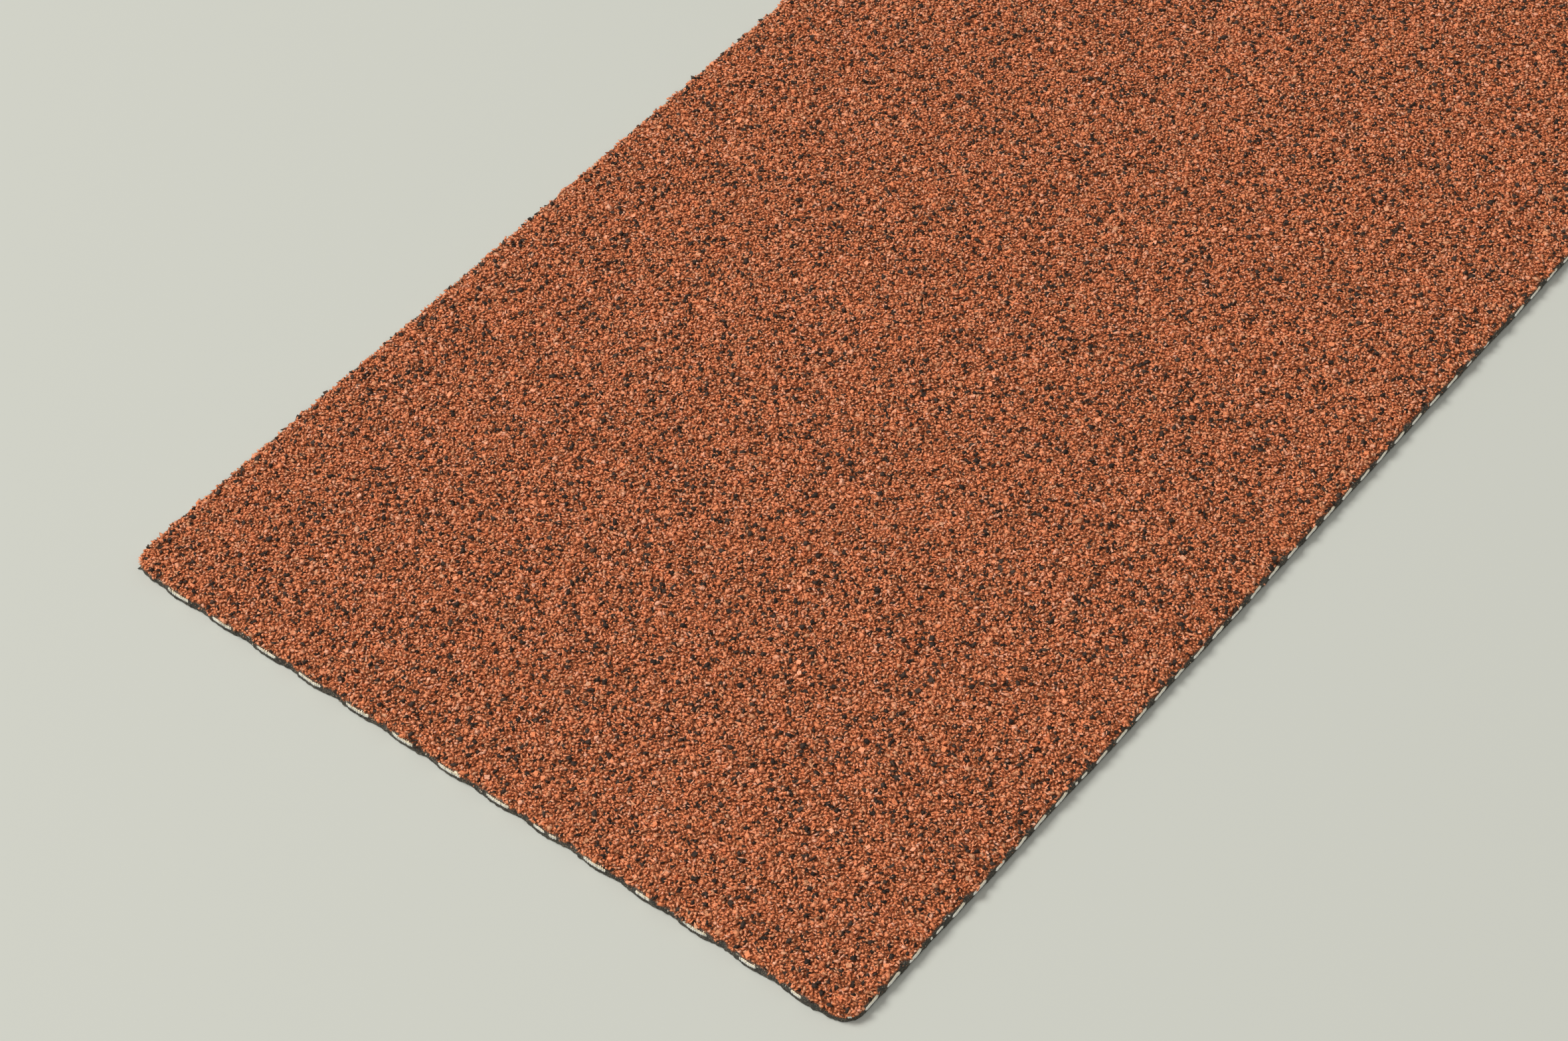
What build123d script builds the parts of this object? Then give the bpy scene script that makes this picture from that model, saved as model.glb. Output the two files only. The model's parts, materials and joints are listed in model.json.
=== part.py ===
from build123d import *
import math
import os

# A flat piece of lead-free roof flashing. A black polymer compound sheet holds an expanded
# aluminium mesh at half its thickness and carries a bed of crushed stone granules.
# Millimetres. Z is up, X runs across the sheet and Y along it.
# The origin is on the underside, at the middle of the sheet.

# Compound sheet
sheet_width = 150.0
sheet_length = 300.0
corner_radius = 3.5
compound_thickness = 2.0
rim_chamfer = 0.3

# Granule bed, on top of the compound
bed_rise = 0.6
bed_setback = 0.7       # bare black rim between the bed and the edge
bed_chamfer = 0.25

# Expanded mesh, with bonds a pitch apart and strands that slant from bond to bond
long_way_pitch = 10.0
short_way_pitch = 5.0
strand_width = 1.45
strand_height = 0.9
cover_below_mesh = 0.6  # compound under the mesh
column_shift = 1.2      # from the left edge to the first column of bonds
row_shift = 0.35        # from the near end to the first row of bonds
mesh_stop = 0.8         # the modelled mesh stops this far short of a line of bonds
edge_hold = 0.3         # least width of a bond cut by the edge that still holds its strands

# Each short end bulges round its strand ends and draws in between them
bulge_depth = 0.5
trough_width = 2.5

half_width = sheet_width / 2
half_length = sheet_length / 2
first_column = column_shift - half_width
first_row = row_shift - half_length
strand_slant = math.atan2(short_way_pitch, long_way_pitch)
bond_half_length = strand_width / 2 / math.sin(strand_slant)
bond_half_width = strand_width / 2 / math.cos(strand_slant)
opening_half_length = long_way_pitch / 2 - bond_half_length
opening_half_width = short_way_pitch / 2 - bond_half_width
column_count = math.ceil(2 * sheet_width / long_way_pitch) + 2
row_count = math.ceil(2 * sheet_length / short_way_pitch) + 2
columns = [first_column + step * long_way_pitch / 2 for step in range(-1, column_count)]
rows = [first_row + step * short_way_pitch / 2 for step in range(-1, row_count)]

# The mesh is modelled along the edges only, as a frame wide enough to hold its strands
# together. It takes in one line of bonds along each side and two along each end
held_columns = [x for x in columns if abs(x) < half_width + bond_half_length - edge_hold]
held_rows = [y for y in rows if abs(y) < half_length + bond_half_width - edge_hold]
frame_left = held_columns[1] - mesh_stop
frame_right = held_columns[-2] + mesh_stop
frame_near = held_rows[2] - mesh_stop
frame_far = held_rows[-3] + mesh_stop

# Openings lie on the half pitches, in the places that no bond takes
openings = []
for column, x in enumerate(columns):
    for row, y in enumerate(rows):
        between_bonds = (column + row) % 2 == 1
        at_side = x < frame_left + opening_half_length or x > frame_right - opening_half_length
        at_end = y < frame_near + opening_half_width or y > frame_far - opening_half_width
        if between_bonds and (at_side or at_end):
            openings.append((x, y))

# A short end is a wave of arcs that share a slope where they meet, one bulge to each strand
# end that has room for it, and the far end's strand ends may lie half a pitch aside
bulge_width = long_way_pitch - trough_width
trough_height = bulge_depth * trough_width / long_way_pitch
trough_line = half_length - bulge_depth
straight_reach = half_width - corner_radius
side_reach = trough_line - corner_radius
far_row = round(2 * (half_length - first_row) / short_way_pitch)
first_far_column = first_column + far_row % 2 * long_way_pitch / 2


def bulge_places(first):
    """Return the strand ends, a pitch apart, that a whole bulge has room for."""
    columns = [first + step * long_way_pitch for step in range(column_count)]
    return [x for x in columns if abs(x) + long_way_pitch / 2 < straight_reach]


with BuildSketch() as sheet_outline:
    with BuildLine():
        for end, places in ((-1, bulge_places(first_column)), (1, bulge_places(first_far_column))):
            foot = end * trough_line
            turn = end * (trough_line + trough_height)
            peak = end * half_length
            Line((-straight_reach, foot), (places[0] - long_way_pitch / 2, foot))
            for x in places:
                rise = (x - bulge_width / 2, turn)
                fall = (x + bulge_width / 2, turn)
                TangentArc((x - long_way_pitch / 2, foot), rise, tangent=(1, 0))
                ThreePointArc(rise, (x, peak), fall)
                TangentArc((x + long_way_pitch / 2, foot), fall, tangent=(-1, 0))
            Line((places[-1] + long_way_pitch / 2, foot), (straight_reach, foot))
            for side in (-1, 1):
                RadiusArc(
                    (side * half_width, end * side_reach),
                    (side * straight_reach, foot),
                    radius=-end * side * corner_radius,
                )
        for side in (-1, 1):
            Line((side * half_width, -side_reach), (side * half_width, side_reach))
    make_face()

with BuildPart() as expanded_mesh:
    with BuildSketch(Plane.XY.offset(cover_below_mesh)):
        add(sheet_outline.sketch)
        with Locations(((frame_left + frame_right) / 2, (frame_near + frame_far) / 2)):
            Rectangle(frame_right - frame_left, frame_far - frame_near, mode=Mode.SUBTRACT)
        with Locations(*openings):
            Polygon(
                (opening_half_length, 0),
                (0, opening_half_width),
                (-opening_half_length, 0),
                (0, -opening_half_width),
                mode=Mode.SUBTRACT,
            )
    extrude(amount=strand_height)

with BuildPart() as compound_sheet:
    with BuildSketch():
        add(sheet_outline.sketch)
    extrude(amount=compound_thickness)
    top_edges = compound_sheet.faces().sort_by(Axis.Z)[-1].edges()
    chamfer(top_edges, length=rim_chamfer)
    add(expanded_mesh.part, mode=Mode.SUBTRACT)

with BuildPart() as granule_bed:
    with BuildSketch(Plane.XY.offset(compound_thickness)):
        RectangleRounded(
            sheet_width - 2 * bed_setback,
            2 * (trough_line - bed_setback),
            corner_radius,
        )
    extrude(amount=bed_rise)
    chamfer(granule_bed.faces().sort_by(Axis.Z)[-1].edges(), length=bed_chamfer)

pieces = {
    "compound_sheet": compound_sheet,
    "expanded_mesh": expanded_mesh,
    "granule_bed": granule_bed,
}
os.makedirs("parts", exist_ok=True)
for name, piece in pieces.items():
    piece.part.label = name
    export_step(piece.part, f"parts/{name}.step")
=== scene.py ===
import bisect
import json
import math
import random

import bmesh
import bpy
from mathutils import Matrix, Vector, noise

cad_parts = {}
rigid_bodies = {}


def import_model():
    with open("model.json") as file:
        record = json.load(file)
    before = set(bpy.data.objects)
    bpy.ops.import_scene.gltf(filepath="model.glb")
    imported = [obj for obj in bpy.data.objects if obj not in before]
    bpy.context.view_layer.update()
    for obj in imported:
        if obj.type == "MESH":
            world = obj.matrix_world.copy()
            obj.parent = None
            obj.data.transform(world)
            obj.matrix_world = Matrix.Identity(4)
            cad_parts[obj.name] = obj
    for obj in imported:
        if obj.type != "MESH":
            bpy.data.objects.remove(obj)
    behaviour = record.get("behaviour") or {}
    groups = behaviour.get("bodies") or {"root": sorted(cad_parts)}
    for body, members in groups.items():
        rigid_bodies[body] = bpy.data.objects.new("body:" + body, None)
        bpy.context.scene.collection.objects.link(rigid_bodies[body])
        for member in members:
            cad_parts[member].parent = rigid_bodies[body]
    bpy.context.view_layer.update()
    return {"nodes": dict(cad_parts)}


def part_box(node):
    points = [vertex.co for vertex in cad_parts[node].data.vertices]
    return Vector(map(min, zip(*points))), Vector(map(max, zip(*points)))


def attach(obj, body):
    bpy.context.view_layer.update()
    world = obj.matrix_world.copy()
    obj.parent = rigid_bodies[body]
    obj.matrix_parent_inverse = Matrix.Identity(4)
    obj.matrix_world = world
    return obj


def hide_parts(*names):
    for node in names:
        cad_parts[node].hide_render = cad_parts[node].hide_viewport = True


# A flat cut piece of granule faced flashing: black compound, expanded mesh, crushed granules.
# The CAD mesh stays. The compound with its cut edges, the sheared strand ends and the granules
# are made here. Lengths are in millimetres, but for the stage's, which are in metres.

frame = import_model()
mm = 0.001

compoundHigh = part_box("compound_sheet")[1]
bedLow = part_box("granule_bed")[0]
meshLow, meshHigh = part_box("expanded_mesh")

halfWidth = compoundHigh[0] / mm
halfLength = compoundHigh[1] / mm
topLevel = bedLow[2] / mm
strandBottom = meshLow[2] / mm
strandTop = meshHigh[2] / mm

lattice = {
    "longWay": 10.0,        # from bond to bond along a short end
    "shortWay": 5.0,        # and along a long side
    "columnShift": 1.2,     # first column of bonds from the left edge
    "rowShift": 0.35,
    "strand": 1.45,
    "cornerRadius": 3.5,
    "troughDepth": 0.5,     # the short ends draw in this far between strand ends
}


def smooth(value, low, high):
    t = min(max((value - low) / (high - low), 0.0), 1.0)
    return t * t * (3 - 2 * t)


noiseSeeds = {
    "wander": 1, "dip": 2, "nibble": 4, "lump": 6, "pit": 8, "burr": 12,
    "ragged": 21, "dent": 23, "phase": 25, "wave": 27, "waver": 31,
}
noiseStride = (7.3, -3.1, 1.0)


def rough(x, y, z, scale, name):
    # even noise from -1 to 1, features about one scale across, from another place for each name
    place = [value / scale + noiseSeeds[name] * stride
             for value, stride in zip((x, y, z), noiseStride)]
    return noise.noise(Vector(place))


def inStrand(x, y):
    # whether a place lies on the mesh, whose strands slant both ways between the bonds
    u = (x + halfWidth - lattice["columnShift"]) / (lattice["longWay"] / 2)
    v = (y + halfLength - lattice["rowShift"]) / (lattice["shortWay"] / 2)
    slant = math.atan2(lattice["shortWay"], lattice["longWay"])
    reach = lattice["strand"] / 2 / math.cos(slant) / (lattice["shortWay"] / 2)
    return any(abs((line + 1) % 2 - 1) < reach for line in (u - v, u + v))


# The sheet's outline, walked anticlockwise from the near left corner. Each step knows its
# place, its outward way, the side it is on and how far it is round the sheet.

outline = {
    "step": 0.36,
    "cover": 0.24,           # the cut face stands this far outside the mesh's ends
    "dip": (0.28, 0.58),     # between strand ends the short ends draw in by this, least and most
    "dipScale": 3.0,
    "dipShape": 0.7,         # under 1 the bulges are broad and the dips narrow
    "cornerFade": (68.8, 71.3),      # across the sheet, where the bulges run out into the corners
    "wander": 0.14,          # slow drift of the cut
    "wanderScale": 16.0,
    "wanderLeast": -0.05,
    "nibble": 0.05,          # small unevenness
    "nibbleScale": 1.1,
}


def bulgeAt(x):
    # how far a short end stands out here, most at the strand ends and nothing at the corners
    column = (x + halfWidth - lattice["columnShift"]) / lattice["longWay"]
    trough = math.floor(column) + 0.5
    low, high = outline["dip"]
    chance = 0.5 + 0.5 * rough(trough * lattice["longWay"], 0, 0, outline["dipScale"], "dip")
    depth = low + (high - low) * chance
    dip = depth * (1 - (0.5 + 0.5 * math.cos(2 * math.pi * column)) ** outline["dipShape"])
    return (lattice["troughDepth"] - dip) * (1 - smooth(abs(x), *outline["cornerFade"]))


def walkEdge():
    radius = lattice["cornerRadius"]
    line = halfLength - lattice["troughDepth"]
    reachX, reachY = halfWidth - radius, line - radius
    stops = []

    def straight(side, start, end, outward):
        count = int(math.dist(start, end) / outline["step"])
        for n in range(count):
            x = start[0] + (end[0] - start[0]) * n / count
            y = start[1] + (end[1] - start[1]) * n / count
            bulge = bulgeAt(x) if side == "short" else 0.0
            stops.append([x, y + outward[1] * bulge, *outward, side])

    def corner(x, y, startAngle):
        count = int(radius * math.pi / 2 / outline["step"])
        for n in range(count):
            angle = startAngle + math.pi / 2 * n / count
            way = (math.cos(angle), math.sin(angle))
            stops.append([x + radius * way[0], y + radius * way[1], *way, "corner"])

    straight("short", (-reachX, -line), (reachX, -line), (0, -1))
    corner(reachX, -reachY, -math.pi / 2)
    straight("long", (halfWidth, -reachY), (halfWidth, reachY), (1, 0))
    corner(reachX, reachY, 0)
    straight("short", (reachX, line), (-reachX, line), (0, 1))
    corner(-reachX, reachY, math.pi / 2)
    straight("long", (-halfWidth, reachY), (-halfWidth, -reachY), (-1, 0))
    corner(-reachX, -reachY, math.pi)
    return stops


plainEdge = walkEdge()
isMetal = [inStrand(stop[0], stop[1]) for stop in plainEdge]
edge = []
travelled = 0.0
for n, (x, y, outX, outY, side) in enumerate(plainEdge):
    if n:
        travelled += math.dist((x, y), plainEdge[n - 1][:2])
    drift = outline["wander"] * rough(x, y, 0, outline["wanderScale"], "wander")
    nip = outline["nibble"] * rough(x, y, 0, outline["nibbleScale"], "nibble")
    out = outline["cover"] + max(drift, outline["wanderLeast"]) + nip
    edge.append((x + outX * out, y + outY * out, outX, outY, side, travelled))
roundLength = travelled + math.dist(plainEdge[-1][:2], plainEdge[0][:2])
print("outline:", len(edge), "steps")

alongs = [stop[5] for stop in edge]


def placeAt(along):
    # place and outward way this far round the sheet
    along %= roundLength
    after = bisect.bisect_right(alongs, along)
    first, second = edge[after - 1], edge[after % len(edge)]
    span = (second[5] - first[5]) % roundLength
    t = (along - first[5]) / span
    return [a + (b - a) * t for a, b in zip(first[:4], second[:4])]


# Cut strand ends, wherever the outline crosses the mesh. The shear left them uneven: it broke
# some in two, some are smeared over with compound, and no two are quite as long.

cutEnds = {
    "seed": 7,
    "stretchShort": (0.3, 0.95),     # how much longer than the strand's section an end shows
    "stretchLong": (0.0, 0.35),
    "nudgeShort": 0.2,               # and how far to one side
    "nudgeLong": 0.08,
    "show": (0.86, 1.0),             # share of the height that shows
    # single ends, counted from the near left corner
    "split": {8: 0.62, 18: 0.2, 25: 0.3, 52: 0.7, 95: 0.3, 130: 0.6},      # the first part's share
    "splitGap": 0.8,
    "splitShow": (0.85, 0.9),
    "smeared": (46, 47, 108),
    "smearedSize": (0.55, 0.6),      # share of the length and of the height left
    "buried": (48, 149),
    "spread": {9: -0.6, 10: -1.7, 12: -1.8, 13: -2.9, 14: -1.0, 21: -0.5},
    "shift": {10: -0.3, 13: -0.9},
    # how far past an end the compound still stands full
    "fadeShort": 0.9,
    "fadeLong": 0.5,
    "fadeLead": 0.1,
}


def findEnds():
    # the cut strands, as (middle, length), and the ends that show, as (middle, length, side,
    # share of the height)
    rng = random.Random(cutEnds["seed"])
    starts = [n for n in range(len(edge)) if isMetal[n] and not isMetal[n - 1]]
    cut, shown = [], []
    for number, start in enumerate(starts):
        stop = start
        while isMetal[stop % len(edge)]:
            stop += 1
        side = edge[(start + stop) // 2 % len(edge)][4]
        length = (edge[stop % len(edge)][5] - edge[start][5]) % roundLength
        middle = edge[start][5] + length / 2
        cut.append((middle, length))
        kind = "Short" if side == "short" else "Long"
        length += rng.uniform(*cutEnds["stretch" + kind])
        middle += rng.uniform(-1, 1) * cutEnds["nudge" + kind]
        show = rng.uniform(*cutEnds["show"])
        length += cutEnds["spread"].get(number, 0.0)
        middle += cutEnds["shift"].get(number, 0.0)
        if number in cutEnds["buried"]:
            continue
        if number in cutEnds["smeared"]:
            length *= cutEnds["smearedSize"][0]
            show *= cutEnds["smearedSize"][1]
        if number in cutEnds["split"]:
            first = (length - cutEnds["splitGap"]) * cutEnds["split"][number]
            second = length - cutEnds["splitGap"] - first
            showFirst, showSecond = cutEnds["splitShow"]
            shown.append((middle - (length - first) / 2, first, side, show * showFirst))
            shown.append((middle + (length - second) / 2, second, side, show * showSecond))
        else:
            shown.append((middle, length, side, show))
    return cut, shown


cutStrands, strandPlaces = findEnds()
print("strand ends cut:", len(cutStrands), "shown:", len(strandPlaces))


def coverAt(stop):
    # 1 where a strand is cut, 0 in the gap between two
    fade = cutEnds["fadeShort" if stop[4] == "short" else "fadeLong"]
    best = 0.0
    for middle, length in cutStrands:
        away = abs((stop[5] - middle + roundLength / 2) % roundLength - roundLength / 2)
        if away < length / 2 + fade:
            best = max(best, 1 - smooth(away - length / 2, -cutEnds["fadeLead"], fade))
    return best


covers = [coverAt(stop) for stop in edge]

# Compound sheet. The cut face's profile goes from the underside up and over onto the top.

compound = {
    # (outward, height) where a strand is cut, from the underside up
    "besideStrand": [(-2.2, 0.0), (-0.7, 0.0), (-0.18, 0.0), (-0.05, 0.07), (0.0, 0.2),
                     (-0.01, 0.36), (-0.02, 0.52), (-0.04, 0.72), (-0.06, 0.95), (-0.1, 1.18),
                     (-0.15, 1.38), (-0.2, 1.53), (-0.42, 1.63), (-0.62, 1.75), (-0.9, 1.87),
                     (-1.4, 1.97), (-2.6, 2.0)],
    # and in the gap between two, where the shear dragged the compound down into a slope
    "inGap": [(-2.2, 0.0), (-0.7, 0.0), (-0.2, 0.0), (-0.06, 0.06), (0.0, 0.16),
              (-0.01, 0.3), (-0.05, 0.46), (-0.1, 0.64), (-0.16, 0.84), (-0.22, 1.04),
              (-0.29, 1.24), (-0.38, 1.43), (-0.5, 1.56), (-0.7, 1.68), (-1.0, 1.8),
              (-1.5, 1.93), (-2.6, 2.0)],
    # the profile's points by number: unevenness grows up the foot and fades on the top
    "growsOver": (1, 4),
    "fadesOver": (14, 16),
    "burrLevels": (3, 4, 5),
    "footLevels": (2, 3, 4, 5),
    "spikeLevels": (3, 4),
    "faceFrom": 3,
    "topFrom": 8,            # from here up it can carry granules
    "longUpright": 0.5,      # a long side or a corner leans in by only this share
    "uprightBetween": (0.3, 1.45),
    "lump": 0.1,
    "lumpScale": 0.9,
    "pit": 0.1,
    "pitScale": 0.4,
    "calm": 0.08,            # how much of both is left where a strand is cut
    "liftShare": 0.6,        # of both, upwards, above this height
    "liftFrom": 0.3,
    "burrShort": 0.19,       # unevenness of the foot, where the shear let go
    "burrLong": 0.05,
    "burrScale": 0.7,
    "longFoot": 0.24,        # how far the foot of a long side is drawn in, up to this height
    "longFootTop": 0.52,
    "toLong": (1.5, 7.0),    # from the end, where its foot turns into the long side's
    "spike": 0.75,           # one sharp burr on the near left corner, so many steps before it ends
    "spikeBack": 6,
}


def profileAt(cover, side):
    # the cut face's profile, for this share of a strand's end
    share = 1 - cover
    upright = 1.0 if side == "short" else compound["longUpright"]
    low, high = compound["uprightBetween"]
    profile = []
    for a, b in zip(compound["besideStrand"], compound["inGap"]):
        out, z = a[0] + (b[0] - a[0]) * share, a[1] + (b[1] - a[1]) * share
        if low < z < high:
            out *= upright
        profile.append((out, z))
    return profile


def meshObject(name, points, faces):
    mesh = bpy.data.meshes.new(name)
    mesh.from_pydata(points, [], faces)
    made = bpy.data.objects.new(name, mesh)
    bpy.context.collection.objects.link(made)
    return made


def finishShape(made, weld=None):
    # smooth faces that point outwards, with points nearer than the weld made one
    shape = bmesh.new()
    shape.from_mesh(made.data)
    if weld:
        bmesh.ops.remove_doubles(shape, verts=shape.verts, dist=weld * mm)
    wide = [face for face in shape.faces if len(face.verts) > 4]
    bmesh.ops.triangulate(shape, faces=wide, ngon_method="BEAUTY")
    bmesh.ops.recalc_face_normals(shape, faces=shape.faces)
    shape.to_mesh(made.data)
    shape.free()
    made.data.polygons.foreach_set("use_smooth", [True] * len(made.data.polygons))


def wallFaces(rings):
    # faces all round the edge, between rings of points
    faces = []
    for n in range(len(edge)):
        here, there = n * rings, (n + 1) % len(edge) * rings
        for level in range(rings - 1):
            faces.append((here + level, there + level, there + level + 1, here + level + 1))
    return faces


def makeCompound():
    rings = len(compound["besideStrand"])
    points = []
    for n, (stop, cover) in enumerate(zip(edge, covers)):
        x, y, outX, outY, side = stop[:5]
        asLong = smooth(halfLength - abs(y), *compound["toLong"])
        burr = compound["burrShort"] + (compound["burrLong"] - compound["burrShort"]) * asLong
        calm = 1 - cover * (1 - compound["calm"])
        for level, (out, z) in enumerate(profileAt(cover, side)):
            px, py = x + outX * out, y + outY * out
            grown = smooth(level, *compound["growsOver"])
            onFace = grown * (1 - smooth(level, *compound["fadesOver"]))
            lump = compound["lump"] * rough(px, py, z, compound["lumpScale"], "lump")
            pit = compound["pit"] * rough(px, py, z, compound["pitScale"], "pit")
            push = onFace * calm * (lump + pit)
            lift = 0.0
            if z > compound["liftFrom"]:
                lift = onFace * calm * compound["liftShare"] * (lump - pit)
            if level in compound["burrLevels"]:
                push += burr * rough(px, py, 0, compound["burrScale"], "burr")
            if level in compound["footLevels"]:
                push -= compound["longFoot"] * asLong * (1 - z / compound["longFootTop"])
            if level in compound["spikeLevels"] and n == len(edge) - compound["spikeBack"]:
                push += compound["spike"]
            px, py = px + outX * push, py + outY * push
            points.append((px * mm, py * mm, max(z + lift, 0.0) * mm))
    faces = wallFaces(rings)
    faces.append([n * rings for n in reversed(range(len(edge)))])
    faces.append([n * rings + rings - 1 for n in range(len(edge))])
    made = meshObject("compound_cut_sheet", points, faces)
    finishShape(made)
    return made


compoundSheet = makeCompound()
print("compound:", len(compoundSheet.data.polygons), "faces")

# Sheared strand ends: ridged lips of aluminium that stand just out of the cut face.

lips = {
    "proudShort": 0.05,      # of the cut face
    "proudLong": 0.1,
    "riseShort": 0.11,       # the shear dragged the short ends up
    "riseLong": 0.0,
    "depth": 0.5,            # how far back into the compound a lip reaches
    "backTaper": 0.9,
    "ridgeShort": 0.06,      # height of the ridges that the shear left
    "ridgeLong": 0.021,
    "ridgePitch": 0.38,
    "ridgeStray": (4, 1.1),          # how far their phase wanders, in radians, and over what length
    "ridgeMean": 0.6,                # their height, as a share
    "ridgeSwing": (1.2, 0.9),        # how much it varies, and over what length
    "stepShort": 0.12,
    "stepLong": 0.26,
    "leastSteps": 6,
    "levelsShort": 7,
    "levelsLong": 6,
    "tiltShort": 0.02,       # rise of an end per millimetre along its edge
    "tiltLong": 0.09,
    "roundness": 4.6,        # of the lip's outline, 2 is an ellipse
    "trimShort": 0.95,       # of the strand's height
    "trimLong": 0.79,
    "raggedShort": 0.17,     # unevenness of the upper and lower rim
    "raggedLong": 0.08,
    "raggedScale": 0.7,
    "dent": 0.025,
    "dentScale": 0.5,
    "rimFall": (0.06, 6),            # how far the rims fall back, and how sharply
    "endFall": (0.05, 10),
    "weld": 0.0001,
}


def faceOut(z, side):
    # how far out the cut face is at this height beside a strand end
    profile = profileAt(1.0, side)
    face = profile[compound["faceFrom"]:]
    for (outA, zA), (outB, zB) in zip(face, face[1:]):
        if zA <= z <= zB:
            return outA + (outB - outA) * (z - zA) / (zB - zA)
    return 0.0


def makeLips():
    points, faces, worn = [], [], []
    for number, (middle, length, side, show) in enumerate(strandPlaces):
        kind = "Long" if side == "long" else "Short"
        levels, tilt, ragged = lips["levels" + kind], lips["tilt" + kind], lips["ragged" + kind]
        proud, ridge = lips["proud" + kind], lips["ridge" + kind]
        centre = (strandBottom + strandTop) / 2 + lips["rise" + kind]
        halfHeight = (strandTop - strandBottom) / 2 * lips["trim" + kind]
        stray, strayScale = lips["ridgeStray"]
        swing, swingScale = lips["ridgeSwing"]
        steps = max(int(length / lips["step" + kind]), lips["leastSteps"])
        base = len(points)
        for n in range(steps + 1):
            t = -1 + 2 * n / steps
            off = t * length / 2
            x, y, outX, outY = placeAt(middle + off)
            tall = (1 - abs(t) ** lips["roundness"]) ** (1 / lips["roundness"])
            uneven = ragged * rough(middle + off, number, 0, lips["raggedScale"], "ragged")
            phase = 2 * math.pi * (middle + off) / lips["ridgePitch"]
            phase += stray * rough(off, number, 0, strayScale, "phase")
            strength = swing * rough(middle + off, 0, number, swingScale, "wave")
            wave = ridge * math.sin(phase) * (lips["ridgeMean"] + strength)
            for level in range(levels):
                v = -1 + 2 * level / (levels - 1)
                z = centre + tilt * off + halfHeight * show * tall * v + uneven * abs(v)
                dent = lips["dent"] * rough(middle + off, z, number, lips["dentScale"], "dent")
                fall = lips["rimFall"][0] * abs(v) ** lips["rimFall"][1]
                fall += lips["endFall"][0] * abs(t) ** lips["endFall"][1]
                out = faceOut(z, side) + proud + wave + dent - fall
                points.append(((x + outX * out) * mm, (y + outY * out) * mm, z * mm))
            for v in (1, -1):
                z = centre + tilt * off + halfHeight * show * tall * v * lips["backTaper"]
                out = -lips["depth"]
                points.append(((x + outX * out) * mm, (y + outY * out) * mm, z * mm))
        ring = levels + 2
        for n in range(steps):
            for level in range(ring):
                here, there = base + n * ring + level, base + n * ring + (level + 1) % ring
                faces.append((here, here + ring, there + ring, there))
        faces.append([base + level for level in range(ring)])
        faces.append([base + steps * ring + level for level in reversed(range(ring))])
        # 0 on the long sides' ends, which the finish paints lighter as a highlight
        worn += [0.0 if side == "long" else 1.0] * ring * (steps + 1)
    made = meshObject("sheared_strand_ends", points, faces)
    made.data.attributes.new("worn", "FLOAT", "POINT").data.foreach_set("value", worn)
    finishShape(made, lips["weld"])
    return made


strandEnds = makeLips()
print("strand ends:", len(strandEnds.data.polygons), "faces")

# Chips for the granules: small closed shards, broad and flat at the crown as rolling in leaves
# them. Sizes are for a chip 1 wide.

chipShapes = {
    "count": 12,
    "foot": 0.3,             # reach of the buried foot and of the crown
    "crown": 0.5,
    "swing": 0.42,           # how unevenly the corners are spaced
    "reach": (0.66, 1.25),
    "level": (0.7, 1.15),
    "levelStray": 0.06,
    "twist": (0.5, 1.0),     # from the foot to the crown
    "sharpEvery": 6,         # one in so many keeps its sharp edges
    # corners at the foot and at the crown, taken in turn
    "coarse": {"corners": ((2, 5), (3, 4), (1, 6)), "height": 0.42, "stretch": (0.76, 1.3),
               "seed": 40},
    "fine": {"corners": ((1, 4), (2, 3), (1, 4)), "height": 0.46, "stretch": (0.62, 1.6),
             "seed": 60},
}


def makeChips(kind):
    values = chipShapes[kind]
    rng = random.Random(values["seed"])
    folder = bpy.data.collections.new(kind + "Chips")
    for number in range(chipShapes["count"]):
        shape = bmesh.new()
        stretch = rng.uniform(*values["stretch"])
        foot, crown = values["corners"][number % len(values["corners"])]
        turn = rng.uniform(0, 2 * math.pi)
        swing, stray = chipShapes["swing"], chipShapes["levelStray"]
        for corners, reach, level in ((foot, chipShapes["foot"], 0.0),
                                      (crown, chipShapes["crown"], values["height"])):
            for corner in range(corners):
                angle = turn + 2 * math.pi * (corner + rng.uniform(-swing, swing)) / corners
                out = reach * rng.uniform(*chipShapes["reach"])
                z = level * rng.uniform(*chipShapes["level"]) + rng.uniform(-stray, stray)
                x, y = out * math.cos(angle) * stretch, out * math.sin(angle) / stretch
                shape.verts.new((x, y, z))
            turn += rng.uniform(*chipShapes["twist"])
        hull = bmesh.ops.convex_hull(shape, input=shape.verts)
        inside = list(set(hull["geom_interior"] + hull["geom_unused"]))
        bmesh.ops.delete(shape, geom=inside, context="VERTS")
        bmesh.ops.recalc_face_normals(shape, faces=shape.faces)
        mesh = bpy.data.meshes.new(f"{kind}Chip{number}")
        shape.to_mesh(mesh)
        shape.free()
        worn = number % chipShapes["sharpEvery"] != 1
        mesh.polygons.foreach_set("use_smooth", [worn] * len(mesh.polygons))
        folder.objects.link(bpy.data.objects.new(mesh.name, mesh))
    return folder


coarseChips = makeChips("coarse")
fineChips = makeChips("fine")

# Helpers for node trees. Sockets that share a name with others go by number: the two that a
# node takes and the one that it gives.

mixSockets = {"FLOAT": (2, 3, 0), "RGBA": (6, 7, 2)}
randomSockets = {"FLOAT": (2, 3, 1), "INT": (4, 5, 2)}


def fill(tree, node, inputs):
    # links other nodes' outputs to a node's inputs, and sets plain values and colours
    for key, value in inputs.items():
        socket = node.inputs[key]
        if isinstance(value, bpy.types.NodeSocket):
            tree.links.new(value, socket)
        elif socket.type == "RGBA":
            socket.default_value = (*value, 1.0)
        else:
            socket.default_value = value
    return node


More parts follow.
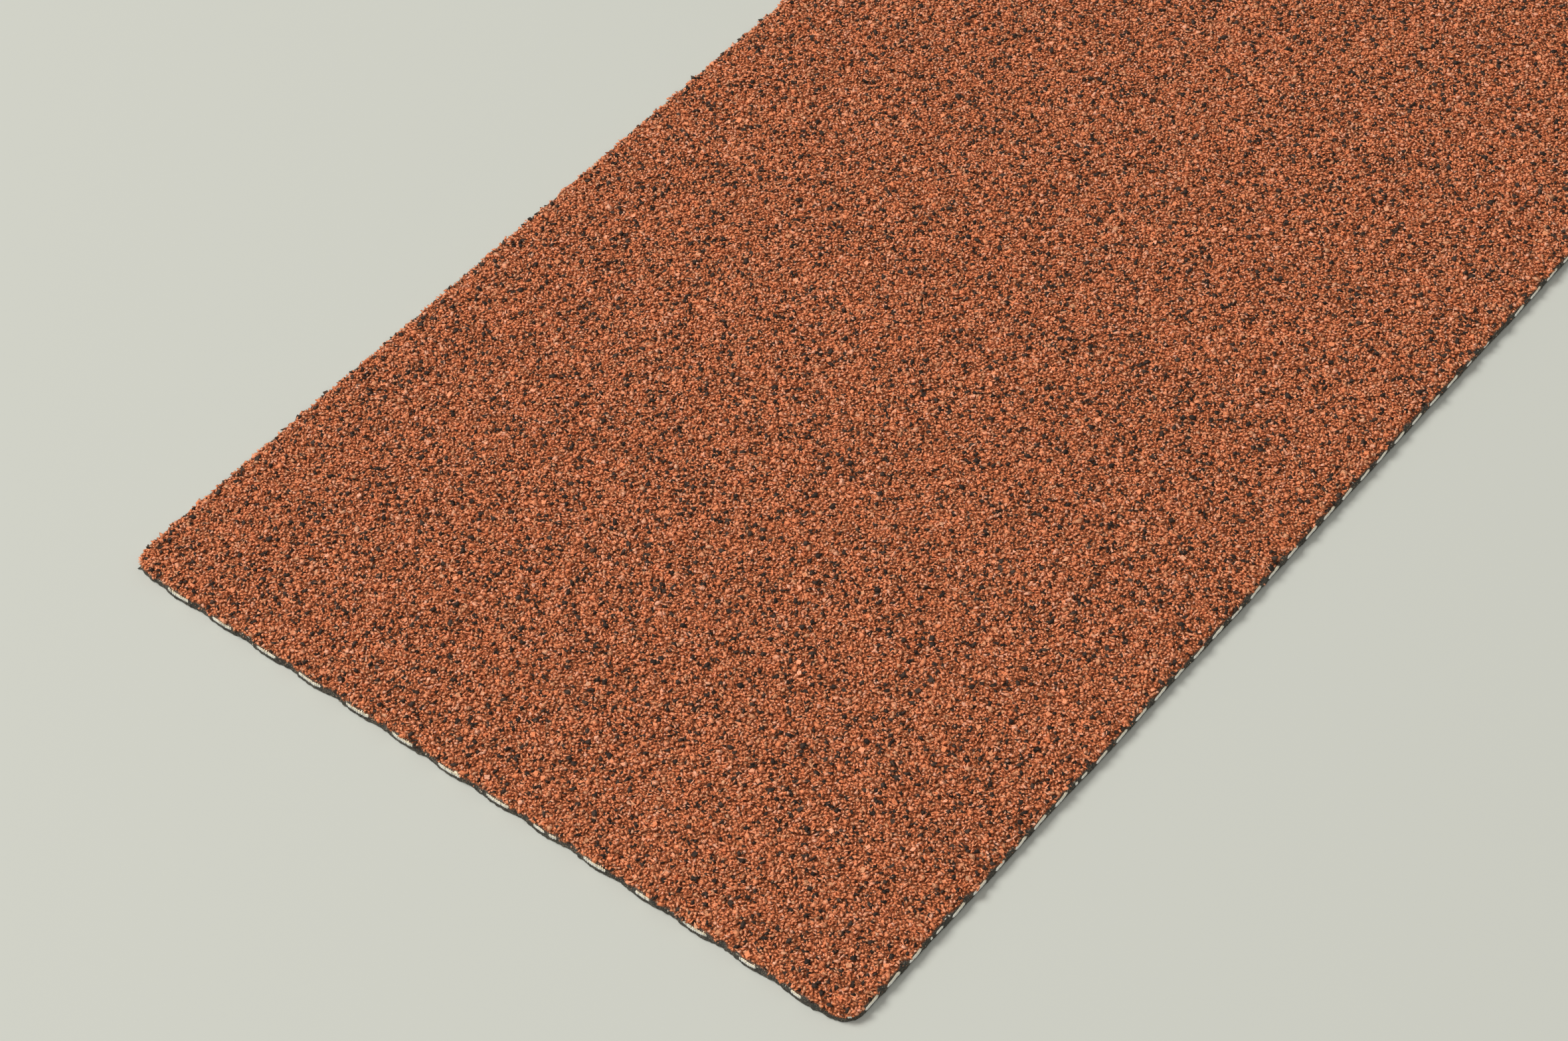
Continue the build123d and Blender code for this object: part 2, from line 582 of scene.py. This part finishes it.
def addNode(tree, kind, inputs, **settings):
    node = tree.nodes.new(kind)
    for name, setting in settings.items():
        setattr(node, name, setting)
    return fill(tree, node, inputs)


def calculate(tree, operation, *values):
    return addNode(tree, "ShaderNodeMath", dict(enumerate(values)), operation=operation).outputs[0]


def mixed(tree, kind, factor, first, second):
    a, b, result = mixSockets[kind]
    node = addNode(tree, "ShaderNodeMix", {0: factor, a: first, b: second}, data_type=kind)
    return node.outputs[result]


def addSockets(tree, way, kind, labels):
    for label in labels:
        tree.interface.new_socket(name=label, in_out=way, socket_type="NodeSocket" + kind)


# The scatter tree: points kept apart on a patch, a chip on each, turned, sized and toned at random.

scatterRules = {
    "patchScale": 540.0,     # the dark chips keep to patches of about 2 mm
    "patchDetail": 1.0,
    "patchLift": 0.5,
    "patchPower": 7.0,
    "patchShare": 0.8,
    "sizePower": 1.6,        # over 1, more small chips than large ones
    "draws": {"level": 1, "chip": 2, "leanX": 3, "leanY": 4, "turn": 5, "size": 6, "tone": 7,
              "dark": 8},
}


def scatterTree():
    tree = bpy.data.node_groups.new("granuleScatter", "GeometryNodeTree")
    addSockets(tree, "OUTPUT", "Geometry", ["Geometry"])
    addSockets(tree, "INPUT", "Geometry", ["Patch"])
    addSockets(tree, "INPUT", "Collection", ["Chips"])
    addSockets(tree, "INPUT", "Float", ["Spacing", "Density", "Least Size", "Most Size", "Tilt",
                                        "Low", "High", "Dark Share", "Dark Sink"])
    addSockets(tree, "INPUT", "Int", ["Seed"])
    addSockets(tree, "INPUT", "Material", ["Material"])
    given = tree.nodes.new("NodeGroupInput").outputs

    def store(geometry, name, value, domain):
        return addNode(tree, "GeometryNodeStoreNamedAttribute",
                       {"Geometry": geometry, "Name": name, "Value": value},
                       data_type="FLOAT", domain=domain).outputs[0]

    def draw(name, low=0.0, high=1.0, kind="FLOAT"):
        # a random value for each chip
        a, b, result = randomSockets[kind]
        seed = calculate(tree, "ADD", given["Seed"], scatterRules["draws"][name])
        limits = {a: low, b: high, "Seed": seed}
        return addNode(tree, "FunctionNodeRandomValue", limits, data_type=kind).outputs[result]

    points = addNode(tree, "GeometryNodeDistributePointsOnFaces",
                     {"Mesh": given["Patch"], "Distance Min": given["Spacing"],
                      "Density Max": given["Density"], "Seed": given["Seed"]},
                     distribute_method="POISSON")
    spot = tree.nodes.new("GeometryNodeInputPosition").outputs[0]
    patchy = addNode(tree, "ShaderNodeTexNoise",
                     {"Scale": scatterRules["patchScale"], "Detail": scatterRules["patchDetail"],
                      "Vector": spot}).outputs[0]
    lifted = calculate(tree, "ADD", patchy, scatterRules["patchLift"])
    patch = calculate(tree, "POWER", lifted, scatterRules["patchPower"])
    likely = calculate(tree, "MULTIPLY", given["Dark Share"],
                       calculate(tree, "MULTIPLY", patch, scatterRules["patchShare"]))
    chosen = calculate(tree, "LESS_THAN", draw("dark"), likely)
    dark = store(points.outputs["Points"], "slate", chosen, "POINT")
    # the bed's height under each chip: the finish paints shade on the parts that lie low above it
    height = addNode(tree, "ShaderNodeSeparateXYZ", {0: spot}).outputs["Z"]
    ground = store(dark, "ground", height, "POINT")

    # dark chips lie deeper
    isDark = addNode(tree, "GeometryNodeInputNamedAttribute", {"Name": "slate"}, data_type="FLOAT")
    sunk = calculate(tree, "MULTIPLY", isDark.outputs[0], given["Dark Sink"])
    level = calculate(tree, "SUBTRACT", draw("level", given["Low"], given["High"]), sunk)
    offset = addNode(tree, "ShaderNodeCombineXYZ", {"Z": level}).outputs[0]
    lift = addNode(tree, "GeometryNodeSetPosition", {"Geometry": ground, "Offset": offset})

    folder = addNode(tree, "GeometryNodeCollectionInfo",
                     {"Separate Children": True, "Reset Children": True,
                      "Collection": given["Chips"]})
    back = calculate(tree, "MULTIPLY", given["Tilt"], -1.0)
    lean = addNode(tree, "ShaderNodeCombineXYZ",
                   {"X": draw("leanX", back, given["Tilt"]), "Y": draw("leanY", back, given["Tilt"]),
                    "Z": draw("turn", 0.0, 2 * math.pi)})
    spread = calculate(tree, "POWER", draw("size"), scatterRules["sizePower"])
    span = calculate(tree, "SUBTRACT", given["Most Size"], given["Least Size"])
    size = calculate(tree, "ADD", given["Least Size"], calculate(tree, "MULTIPLY", spread, span))
    place = addNode(tree, "GeometryNodeInstanceOnPoints",
                    {"Points": lift.outputs["Geometry"], "Instance": folder.outputs[0],
                     "Pick Instance": True,
                     "Instance Index": draw("chip", 0, chipShapes["count"] - 1, "INT"),
                     "Rotation": lean.outputs[0], "Scale": size})

    toned = store(place.outputs[0], "tone", draw("tone"), "INSTANCE")
    real = addNode(tree, "GeometryNodeRealizeInstances", {0: toned})
    finish = addNode(tree, "GeometryNodeSetMaterial",
                     {"Geometry": real.outputs[0], "Material": given["Material"]})
    addNode(tree, "NodeGroupOutput", {0: finish.outputs[0]})
    return tree


# Finishes. They share one group for mottle and a few helpers. Texture scales are per metre.

mottleDetail = {"Coarse Scale": 3.0, "Fine Scale": 4.0}


def mottleGroup():
    # two sizes of noise mixed into one mask, and a height for a bump
    group = bpy.data.node_groups.new("surfaceMottle", "ShaderNodeTree")
    addSockets(group, "INPUT", "Float", ["Coarse Scale", "Fine Scale", "Fine Share"])
    addSockets(group, "OUTPUT", "Float", ["Mask", "Height"])
    given = group.nodes.new("NodeGroupInput").outputs
    where = group.nodes.new("ShaderNodeTexCoord").outputs["Object"]
    coarse, fine = [addNode(group, "ShaderNodeTexNoise",
                            {"Vector": where, "Scale": given[label], "Detail": detail}).outputs[0]
                    for label, detail in mottleDetail.items()]
    mask = mixed(group, "FLOAT", given["Fine Share"], coarse, fine)
    addNode(group, "NodeGroupOutput", {"Mask": mask, "Height": fine})
    return group


mottle = mottleGroup()


def mottled(tree, scales):
    # the mottle's mask and height, for a coarse scale, a fine scale and the fine one's share
    node = addNode(tree, "ShaderNodeGroup", dict(enumerate(scales)), node_tree=mottle)
    return node.outputs["Mask"], node.outputs["Height"]


def newMaterial(name):
    material = bpy.data.materials.new(name)
    material.use_nodes = True
    return material, material.node_tree, material.node_tree.nodes["Principled BSDF"]


def colourRamp(tree, value, stops):
    ramp = addNode(tree, "ShaderNodeValToRGB", {0: value})
    elements = ramp.color_ramp.elements
    while len(elements) < len(stops):
        elements.new(0.5)
    for element, (place, colour) in zip(elements, stops):
        element.position = place
        element.color = (*colour, 1.0)
    return ramp.outputs[0]


def mapRange(tree, value, start=(0.0, 1.0), end=(0.0, 1.0)):
    return addNode(tree, "ShaderNodeMapRange",
                   {"Value": value, "From Min": start[0], "From Max": start[1],
                    "To Min": end[0], "To Max": end[1]}).outputs[0]


def attribute(tree, name):
    return addNode(tree, "ShaderNodeAttribute", {}, attribute_name=name).outputs["Fac"]


def heightMask(tree, levels, ground=None):
    # 0 at the low level and 1 at the high one, counted from the ground where one is given
    where = tree.nodes.new("ShaderNodeTexCoord").outputs["Object"]
    height = addNode(tree, "ShaderNodeSeparateXYZ", {0: where}).outputs["Z"]
    if ground:
        height = calculate(tree, "SUBTRACT", height, ground)
    return mapRange(tree, height, (levels[0] * mm, levels[1] * mm))


def bumpFrom(tree, height, amount):
    strength, distance = amount
    return addNode(tree, "ShaderNodeBump",
                   {"Strength": strength, "Distance": distance * mm, "Height": height}).outputs[0]


granuleLook = {
    "mottle": (1100.0, 3400.0, 0.6),
    "toneShift": (1.7, -0.85),       # factor and shift of the mottle's pull on the tone
    "tones": [(0.0, (0.36, 0.096, 0.034)), (0.14, (0.84, 0.252, 0.097)),
              (0.55, (0.91, 0.31, 0.135)), (0.9, (0.93, 0.37, 0.19)), (1.0, (0.94, 0.46, 0.29))],
    "slate": [(0.0, (0.018, 0.009, 0.005)), (1.0, (0.066, 0.040, 0.027))],
    "tan": (0.62, 0.34, 0.18),
    "dusty": 0.6,            # how far the dustiest granules turn to tan
    "dustyPeriod": 0.06,     # they lie at even steps through the tones
    "dustyFrom": (0.04, 0.06),
    # painted shade: the granules' lower parts, down between their neighbours, darkened as if in
    # shadow
    "paintedCreviceShade": (0.24, 0.062, 0.018),
    "paintedShadeLevel": (-0.13, 0.05),   # above the bed's ground, from full painted shade to none
    "roughness": 0.85,
    "specular": 0.3,
    "bump": (1.0, 0.22),             # strength and distance
}


def granuleMaterial():
    material, tree, shader = newMaterial("terracotta_granules")
    mask, height = mottled(tree, granuleLook["mottle"])
    tone = attribute(tree, "tone")
    shift = calculate(tree, "MULTIPLY_ADD", mask, *granuleLook["toneShift"])
    blend = calculate(tree, "ADD", tone, shift)
    red = colourRamp(tree, blend, granuleLook["tones"])
    grey = colourRamp(tree, blend, granuleLook["slate"])
    odd = calculate(tree, "PINGPONG", tone, granuleLook["dustyPeriod"])
    dusty = mapRange(tree, odd, granuleLook["dustyFrom"], (0.0, granuleLook["dusty"]))
    tinted = mixed(tree, "RGBA", dusty, red, granuleLook["tan"])
    # painted shade: darker towards the bed's ground, where the granules sink between their
    # neighbours
    level = heightMask(tree, granuleLook["paintedShadeLevel"], attribute(tree, "ground"))
    withPaintedShade = mixed(tree, "RGBA", level, granuleLook["paintedCreviceShade"], tinted)
    fill(tree, shader, {
        "Base Color": mixed(tree, "RGBA", attribute(tree, "slate"), withPaintedShade, grey),
        "Roughness": granuleLook["roughness"],
        "Specular IOR Level": granuleLook["specular"],
        "Normal": bumpFrom(tree, height, granuleLook["bump"]),
    })
    return material


compoundLook = {
    "mottle": (420.0, 2600.0, 0.5),
    "black": [(0.3, (0.014, 0.0135, 0.011)), (0.62, (0.046, 0.043, 0.035))],
    "dust": (0.24, 0.20, 0.145),
    "dustMottle": (900.0, 5200.0, 0.75),
    "dustLevel": (0.5, 0.7),         # how high the mask must be for a speck of dust
    "roughness": (0.5, 0.75),
    "grainScale": 2900.0,            # fine grains of about 0.5 mm, pressed between the chips
    "grainTones": [(0.0, (0.25, 0.068, 0.022)), (0.5, (0.66, 0.195, 0.072)),
                   (1.0, (0.93, 0.31, 0.13))],
    "grainShadow": (0.12, 0.031, 0.009),
    "grainBorder": (0.3, 0.65),      # where the shadow between them starts and is full
    "grainRoughness": 0.95,
    "specular": 0.3,
    "bump": (0.9, 0.3),
}


def compoundMaterial():
    material, tree, shader = newMaterial("black_compound")
    mask, height = mottled(tree, compoundLook["mottle"])
    black = colourRamp(tree, mask, compoundLook["black"])
    specks = mottled(tree, compoundLook["dustMottle"])[0]
    dusty = mapRange(tree, specks, compoundLook["dustLevel"])
    face = mixed(tree, "RGBA", dusty, black, compoundLook["dust"])
    where = tree.nodes.new("ShaderNodeTexCoord").outputs["Object"]
    cells = addNode(tree, "ShaderNodeTexVoronoi",
                    {"Scale": compoundLook["grainScale"], "Vector": where})
    pick = addNode(tree, "ShaderNodeSeparateColor", {0: cells.outputs["Color"]}).outputs[1]
    grains = colourRamp(tree, pick, compoundLook["grainTones"])
    border = mapRange(tree, cells.outputs["Distance"], compoundLook["grainBorder"])
    packed = mixed(tree, "RGBA", border, grains, compoundLook["grainShadow"])
    # the grainy ground shows only where the granules lie
    onBed = attribute(tree, "bed")
    sheen = mapRange(tree, mask, end=compoundLook["roughness"])
    fill(tree, shader, {
        "Base Color": mixed(tree, "RGBA", onBed, face, packed),
        "Roughness": mixed(tree, "FLOAT", onBed, sheen, compoundLook["grainRoughness"]),
        "Specular IOR Level": compoundLook["specular"],
        "Normal": bumpFrom(tree, height, compoundLook["bump"]),
    })
    return material


metalLook = {
    "lineScale": 4600.0,
    "lineDetail": 3.0,
    "lineStretch": (1.0, 1.0, 0.1),
    "striation": [(0.36, (0.34, 0.335, 0.31)), (0.49, (0.88, 0.865, 0.80)),
                  (0.64, (0.97, 0.96, 0.90))],
    "longEndHighlight": (0.92, 0.91, 0.85),     # painted highlight: the long sides' ends, plain and lighter, as they face away from the key lamp
    "longEndHighlightShare": 0.8,
    "paintedYellowReflection": (0.86, 0.62, 0.26),     # painted yellow reflection, patchy, that grows towards the top of each end
    "paintedReflectionLevel": (1.04, 1.46),
    "paintedReflectionMottle": (700.0, 4200.0, 0.6),
    "metallic": 0.35,
    "roughness": (0.32, 0.55),
    "bump": (0.7, 0.1),
}


def metalMaterial():
    material, tree, shader = newMaterial("sheared_aluminium")
    where = tree.nodes.new("ShaderNodeTexCoord").outputs["Object"]
    scratch = addNode(tree, "ShaderNodeMapping",
                      {"Scale": metalLook["lineStretch"], "Vector": where})
    lines = addNode(tree, "ShaderNodeTexNoise",
                    {"Scale": metalLook["lineScale"], "Detail": metalLook["lineDetail"],
                     "Vector": scratch.outputs[0]}).outputs[0]
    shade = colourRamp(tree, lines, metalLook["striation"])
    # painted highlight: ends on the long sides (worn 0) take the plain lighter colour over most of
    # the striation
    bright = mapRange(tree, attribute(tree, "worn"), end=(metalLook["longEndHighlightShare"], 0.0))
    face = mixed(tree, "RGBA", bright, shade, metalLook["longEndHighlight"])
    # painted reflection: a patchy yellow cast high on each end, where the top catches the light
    mask = mottled(tree, metalLook["paintedReflectionMottle"])[0]
    patchy = calculate(tree, "MULTIPLY", heightMask(tree, metalLook["paintedReflectionLevel"]), mask)
    fill(tree, shader, {
        "Base Color": mixed(tree, "RGBA", patchy, face, metalLook["paintedYellowReflection"]),
        "Metallic": metalLook["metallic"],
        "Roughness": mapRange(tree, lines, end=metalLook["roughness"]),
        "Normal": bumpFrom(tree, lines, metalLook["bump"]),
    })
    return material


crumbLook = {
    "tones": [(0.0, (0.03, 0.028, 0.024)), (0.3, (0.20, 0.16, 0.11)), (0.6, (0.60, 0.24, 0.12)),
              (0.8, (0.50, 0.40, 0.28)), (1.0, (0.64, 0.59, 0.49))],
    "roughness": 0.8,
}


def crumbMaterial():
    # crumbs of stone and compound along the rim
    material, tree, shader = newMaterial("rim_crumbs")
    fill(tree, shader, {
        "Base Color": colourRamp(tree, attribute(tree, "tone"), crumbLook["tones"]),
        "Roughness": crumbLook["roughness"],
    })
    return material


granules = granuleMaterial()
crumbs = crumbMaterial()
blackCompound = compoundMaterial()
aluminium = metalMaterial()
print("materials: made")

# Where the bed lies. Its patch follows the compound's top, down over the rim a little.

bed = {
    # from the edge, at a strand end and in the gap between two
    "insets": {"short": (0.36, 0.28), "long": (0.22, 0.5), "corner": (0.03, 0.03)},
    "least": 0.02,
    "cornerBlend": (67.0, 71.5),
    "waver": 0.3,
    "cornerWaver": 0.3,              # share of it left at a corner
    "waverScale": 1.5,
    "fade": (-0.1, 0.15),            # in from its edge, where the grainy ground starts and is full
    "rings": (0.0, 0.3, 0.7, 1.3, 2.2),
    # the rim's rings: share of the inset at a strand end only, and all round
    "rimRings": ((0.9, 0.0), (0.45, 0.5), (0.0, 1.0)),
    "rimCover": (0, 0.4),
    "strips": 6,
}


def insetAt(stop, cover):
    # how far in from the edge the bed starts
    x, y, side = stop[0], stop[1], stop[4]
    atStrand, inGap = bed["insets"][side]
    mean = atStrand * cover + inGap * (1 - cover)
    if side == "short":
        mean += (bed["insets"]["corner"][1] - mean) * smooth(abs(x), *bed["cornerBlend"])
    waver = bed["waver"] * (bed["cornerWaver"] if side == "corner" else 1.0)
    return max(mean + waver * rough(x, y, 0, bed["waverScale"], "waver"), bed["least"])


def heightAt(stop, cover, inset):
    # the compound's top surface this far in from the edge
    profile = profileAt(cover, stop[4])
    upper = profile[compound["topFrom"]:]
    for (outer, low), (inner, high) in zip(upper, upper[1:]):
        if -inner >= inset:
            return low + (high - low) * max((inset + outer) / (outer - inner), 0.0)
    return topLevel


insets = [insetAt(stop, cover) for stop, cover in zip(edge, covers)]


def maskBed():
    # 1 where the granules lie on the compound, and 0 on its rim, its cut face and its underside
    values = []
    for stop, cover, inset in zip(edge, covers, insets):
        start, full = [inset + fade for fade in bed["fade"]]
        for level, (out, z) in enumerate(profileAt(cover, stop[4])):
            values.append(smooth(-out, start, full) if level > compound["topFrom"] else 0.0)
    compoundSheet.data.attributes.new("bed", "FLOAT", "POINT").data.foreach_set("value", values)


maskBed()


def patchMesh(name, depths, filled):
    # the compound's top between rings that lie at these depths in from the edge
    points = []
    for stop, cover, inset in zip(edge, covers, insets):
        for depth in depths(inset, cover):
            x, y = stop[0] - stop[2] * depth, stop[1] - stop[3] * depth
            points.append((x * mm, y * mm, heightAt(stop, cover, depth) * mm))
    rings = len(points) // len(edge)
    faces = wallFaces(rings)
    if filled:
        faces.append([n * rings + rings - 1 for n in range(len(edge))])
    mesh = bpy.data.meshes.new(name)
    mesh.from_pydata(points, [], faces)
    return mesh


def bedStrips(mesh):
    # the bed cut across into strips, so that no piece is too heavy
    cuts = [-halfLength + 2 * halfLength * n / bed["strips"] for n in range(bed["strips"] + 1)]
    strips = []
    for start, end in zip(cuts, cuts[1:]):
        shape = bmesh.new()
        shape.from_mesh(mesh)
        for cut, way in ((start, -1), (end, 1)):
            if abs(cut) < halfLength:
                everything = shape.verts[:] + shape.edges[:] + shape.faces[:]
                bmesh.ops.bisect_plane(shape, geom=everything, plane_co=(0, cut * mm, 0),
                                       plane_no=(0, way, 0), clear_outer=True)
        bmesh.ops.triangulate(shape, faces=shape.faces[:])
        strip = bpy.data.meshes.new("bedStrip")
        shape.to_mesh(strip)
        shape.free()
        strips.append(strip)
    return strips


# Layers of granules. Density is chips per square millimetre, and tilt is in radians.

scatter = {
    "coarse": {"Spacing": 1.25, "Density": 2.0, "Least Size": 0.8, "Most Size": 1.3,
               "Tilt": 0.35, "Low": -0.12, "High": 0.02, "Dark Share": 0.72, "Dark Sink": 0.08},
    "fine": {"Spacing": 0.458, "Density": 14.0, "Least Size": 0.54, "Most Size": 0.92,
             "Tilt": 0.42, "Low": -0.1, "High": 0.12, "Dark Share": 0.1, "Dark Sink": 0.03},
    "stray": {"Spacing": 0.3, "Density": 5.0, "Least Size": 0.18, "Most Size": 0.55,
              "Tilt": 0.9, "Low": -0.1, "High": 0.02, "Dark Share": 0.5, "Dark Sink": 0.0},
}
scatterSeeds = {"coarse": 100, "fine": 200, "stray": 300}
lengths = ("Spacing", "Least Size", "Most Size", "Low", "High", "Dark Sink")
scatterNodes = scatterTree()
socketOf = {item.name: item.identifier for item in scatterNodes.interface.items_tree
            if item.item_type == "SOCKET" and item.in_out == "INPUT"}


def scatterOn(kind, mesh, chips, material, number):
    # a layer of chips on this mesh, as a mesh of its own
    piece = bpy.data.objects.new(kind + "Layer", mesh)
    bpy.context.collection.objects.link(piece)
    modifier = piece.modifiers.new("scatter", "NODES")
    modifier.node_group = scatterNodes
    modifier[socketOf["Chips"]] = chips
    modifier[socketOf["Seed"]] = scatterSeeds[kind] + number
    modifier[socketOf["Material"]] = material
    for label, value in scatter[kind].items():
        if label in lengths:
            value *= mm
        if label == "Density":
            value /= mm * mm
        modifier[socketOf[label]] = value
    evaluated = piece.evaluated_get(bpy.context.evaluated_depsgraph_get())
    plain = bpy.data.meshes.new_from_object(evaluated)
    bpy.data.objects.remove(piece)
    return plain


def joined(name, meshes):
    holders = [bpy.data.objects.new(name, mesh) for mesh in meshes]
    for holder in holders:
        bpy.context.collection.objects.link(holder)
    with bpy.context.temp_override(active_object=holders[0], selected_editable_objects=holders):
        bpy.ops.object.join()
    return holders[0]


def rimDepths(inset, cover):
    atEnds = smooth(cover, *bed["rimCover"])
    return [inset * share * atEnds + inset * rest for share, rest in bed["rimRings"]]


bedPatch = patchMesh("bedPatch", lambda inset, cover: [inset + more for more in bed["rings"]], True)
rimPatch = patchMesh("rimPatch", rimDepths, False)
granulePieces = []
total = 0
for number, strip in enumerate(bedStrips(bedPatch)):
    layers = [scatterOn("coarse", strip, coarseChips, granules, number),
              scatterOn("fine", strip, fineChips, granules, number)]
    if number == 0:
        layers.append(scatterOn("stray", rimPatch, fineChips, crumbs, number))
    piece = joined(f"granules_{number + 1}", layers)
    granulePieces.append(piece)
    triangles = sum(len(face.vertices) - 2 for face in piece.data.polygons)
    total += triangles
    print("granules:", piece.name, triangles, "triangles")
print("granules in all:", total)
for chip in list(coarseChips.objects) + list(fineChips.objects):
    bpy.data.objects.remove(chip)

# Rides and finishes; the CAD parts that the new pieces take the place of are hidden.

compoundSheet.data.materials.append(blackCompound)
strandEnds.data.materials.append(aluminium)
for node, material in (("expanded_mesh", aluminium), ("compound_sheet", blackCompound),
                       ("granule_bed", granules)):
    made = frame["nodes"][node]
    made.data.materials.clear()
    made.data.materials.append(material)

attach(compoundSheet, "root")
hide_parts("compound_sheet")
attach(strandEnds, "root")
for piece in granulePieces:
    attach(piece, "root")
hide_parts("granule_bed")

# Floor, light and camera, in metres and watts.

stage = {
    "floorSize": 6.0,
    "floorColour": (0.53, 0.535, 0.475),
    "floorRoughness": 0.9,
    "skyColour": (0.60, 0.60, 0.54),     # what the camera sees past the floor
    "worldColour": (1, 1, 1),
    "worldStrength": 0.30,
    "key": {"place": (-2.0, -0.7, 2.7), "size": 1.6, "power": 104.0},
    "fill": {"place": (0.75, -1.2, 1.3), "size": 0.9, "power": 9.0},
}


def addFloor():
    half = stage["floorSize"] / 2
    corners = [(-half, -half, 0), (half, -half, 0), (half, half, 0), (-half, half, 0)]
    floor = meshObject("studio_floor", corners, [(0, 1, 2, 3)])
    material, tree, shader = newMaterial("pale_floor")
    fill(tree, shader, {"Base Color": stage["floorColour"], "Roughness": stage["floorRoughness"]})
    floor.data.materials.append(material)


def addLamp(name):
    values = stage[name]
    lamp = bpy.data.lights.new(name, "AREA")
    lamp.size = values["size"]
    lamp.energy = values["power"]
    made = bpy.data.objects.new(name, lamp)
    made.location = values["place"]
    made.rotation_euler = (-Vector(values["place"])).to_track_quat("-Z", "Y").to_euler()
    bpy.context.collection.objects.link(made)


def addWorld():
    # an even white light, and a pale backdrop for the camera and in reflections
    world = bpy.data.worlds.new("studio")
    world.use_nodes = True
    tree = world.node_tree
    glow = fill(tree, tree.nodes["Background"],
                {"Color": stage["worldColour"], "Strength": stage["worldStrength"]})
    backdrop = addNode(tree, "ShaderNodeBackground", {"Color": stage["skyColour"]})
    rays = tree.nodes.new("ShaderNodeLightPath").outputs
    seen = rays["Is Camera Ray"]
    for ray in ("Is Glossy Ray", "Is Transmission Ray"):
        seen = calculate(tree, "MAXIMUM", seen, rays[ray])
    both = addNode(tree, "ShaderNodeMixShader",
                   {0: seen, 1: glow.outputs[0], 2: backdrop.outputs[0]})
    fill(tree, tree.nodes["World Output"], {"Surface": both.outputs[0]})
    bpy.context.scene.world = world


shot = {
    "place": (0.2912, -0.363, 0.4506),
    "right": (0.7652, 0.6381, -0.0857),
    "down": (0.4359, -0.6113, -0.6605),
    "lens": 86.33,
    "sensor": 36.0,
    "clip": (0.01, 20.0),
}


def addCamera():
    camera = bpy.data.cameras.new("shot")
    camera.sensor_width = shot["sensor"]
    camera.lens = shot["lens"]
    camera.clip_start, camera.clip_end = shot["clip"]
    right = Vector(shot["right"]).normalized()
    up = -Vector(shot["down"])
    up = (up - right * up.dot(right)).normalized()
    back = right.cross(up)
    turn = Matrix((right, up, back)).transposed().to_4x4()
    made = bpy.data.objects.new("shot", camera)
    made.matrix_world = Matrix.Translation(shot["place"]) @ turn
    bpy.context.collection.objects.link(made)
    bpy.context.scene.camera = made


addFloor()
addWorld()
addLamp("key")
addLamp("fill")
addCamera()
bpy.context.scene.view_settings.view_transform = "Standard"
print("stage: set")
